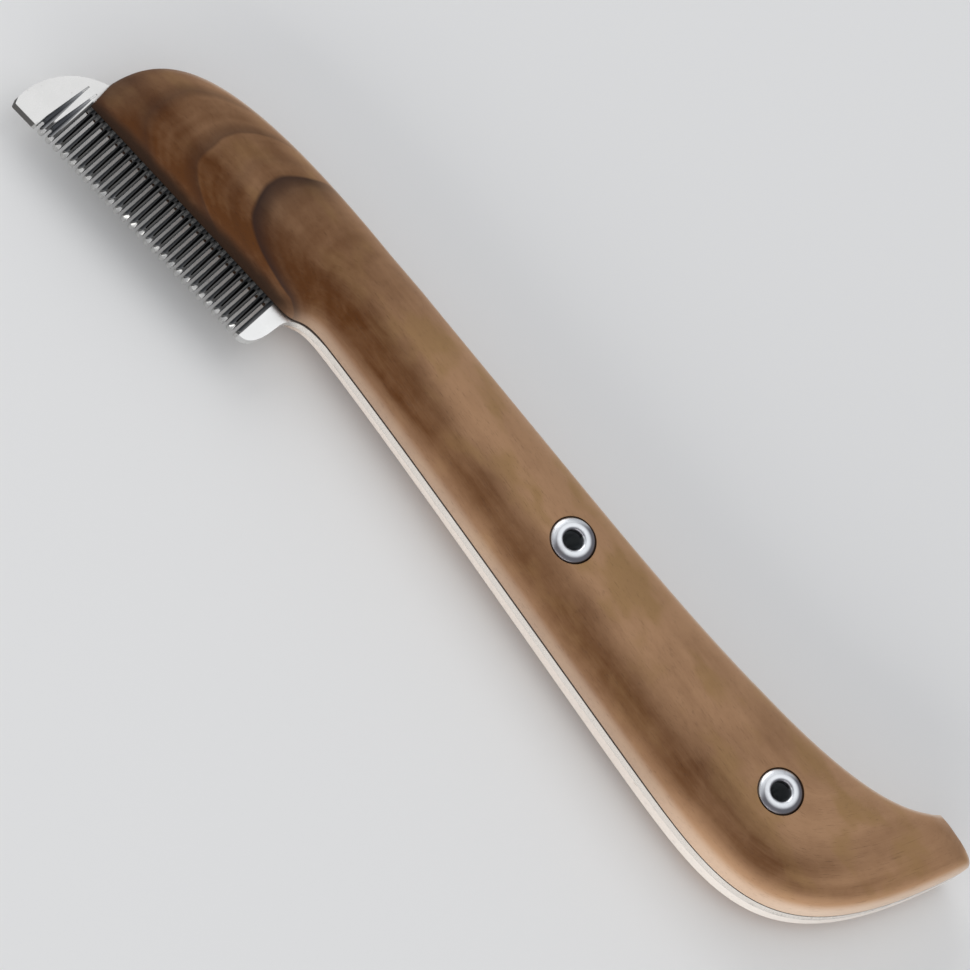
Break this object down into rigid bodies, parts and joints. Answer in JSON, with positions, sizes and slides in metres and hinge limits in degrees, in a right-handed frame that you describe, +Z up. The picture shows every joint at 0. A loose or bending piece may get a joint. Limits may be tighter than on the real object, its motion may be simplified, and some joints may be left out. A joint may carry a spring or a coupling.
{
  "type": "hand-stripping comb knife",
  "caption": "Grooming knife for pulling loose undercoat: a fine-toothed full-tang steel blade between two shaped walnut scales with hollow rivets.",
  "frame": {"origin": "centre of the knife's footprint, on the surface that the rear scale lies on", "axes": "+X runs along the grip from the comb's toe to the butt, -Y is the side that the teeth point to, +Z is up through the thickness, out of the front scale"},
  "size_m": [0.1704, 0.0448, 0.0131],
  "materials": {
    "blade_steel": "fine satin flats with ground flutes",
    "walnut": "oiled and hand-rubbed, long grain with arched figure at the head",
    "rivet_metal": "bright nickel plate, lightly handled"
  },
  "bodies": {
    "root": {"blade": "blade_steel", "front_scale": "walnut", "rear_scale": "walnut", "upper_rivet": "rivet_metal", "lower_rivet": "rivet_metal"}
  },
  "joints": []
}
